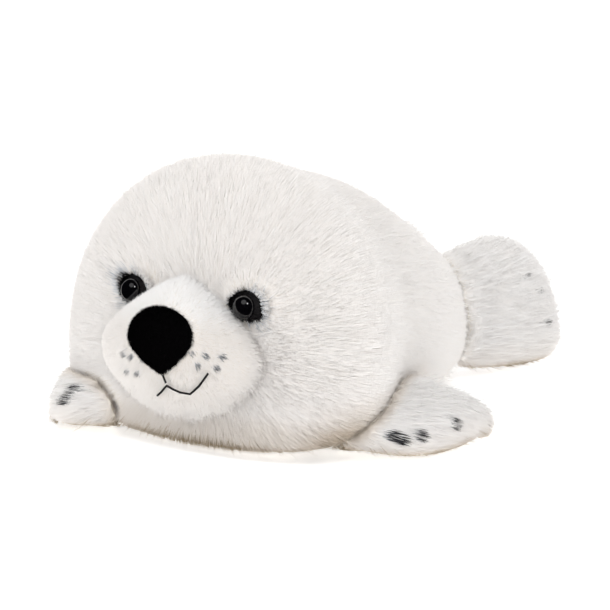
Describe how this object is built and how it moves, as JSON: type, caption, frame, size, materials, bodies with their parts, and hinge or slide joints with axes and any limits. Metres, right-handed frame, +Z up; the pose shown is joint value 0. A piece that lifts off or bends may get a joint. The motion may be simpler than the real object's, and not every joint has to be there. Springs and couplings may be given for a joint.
{
  "type": "plush seal",
  "caption": "Plush seal pup lying flat on its belly, with white pile fur, a rounded short-pile muzzle, black nose and eyes, and broad front and hind flippers.",
  "frame": {"origin": "on the floor under the middle of the whole seal's bounding box", "axes": "+Z up, +Y from the face to the tail, +X to the seal's left side"},
  "size_m": [0.2822, 0.3862, 0.1809],
  "materials": {
    "white_long_pile": "dense long pile",
    "white_short_pile": "short smooth pile",
    "black_plush": "short matt pile",
    "black_plastic": "polished",
    "white_plastic": "as moulded",
    "black_thread": "stranded thread"
  },
  "bodies": {
    "root": {"body": "white_long_pile", "muzzle": "white_short_pile", "nose": "black_plush", "eye_left": "black_plastic", "eye_right": "black_plastic", "eye_patch_left": "black_plush", "eye_patch_right": "black_plush", "eye_washer_left": "white_plastic", "eye_washer_right": "white_plastic", "lip_thread": "black_thread", "philtrum_thread": "black_thread", "front_flipper_left": "white_long_pile", "front_flipper_right": "white_long_pile", "hind_flipper_left": "white_long_pile", "hind_flipper_right": "white_long_pile"}
  },
  "joints": []
}
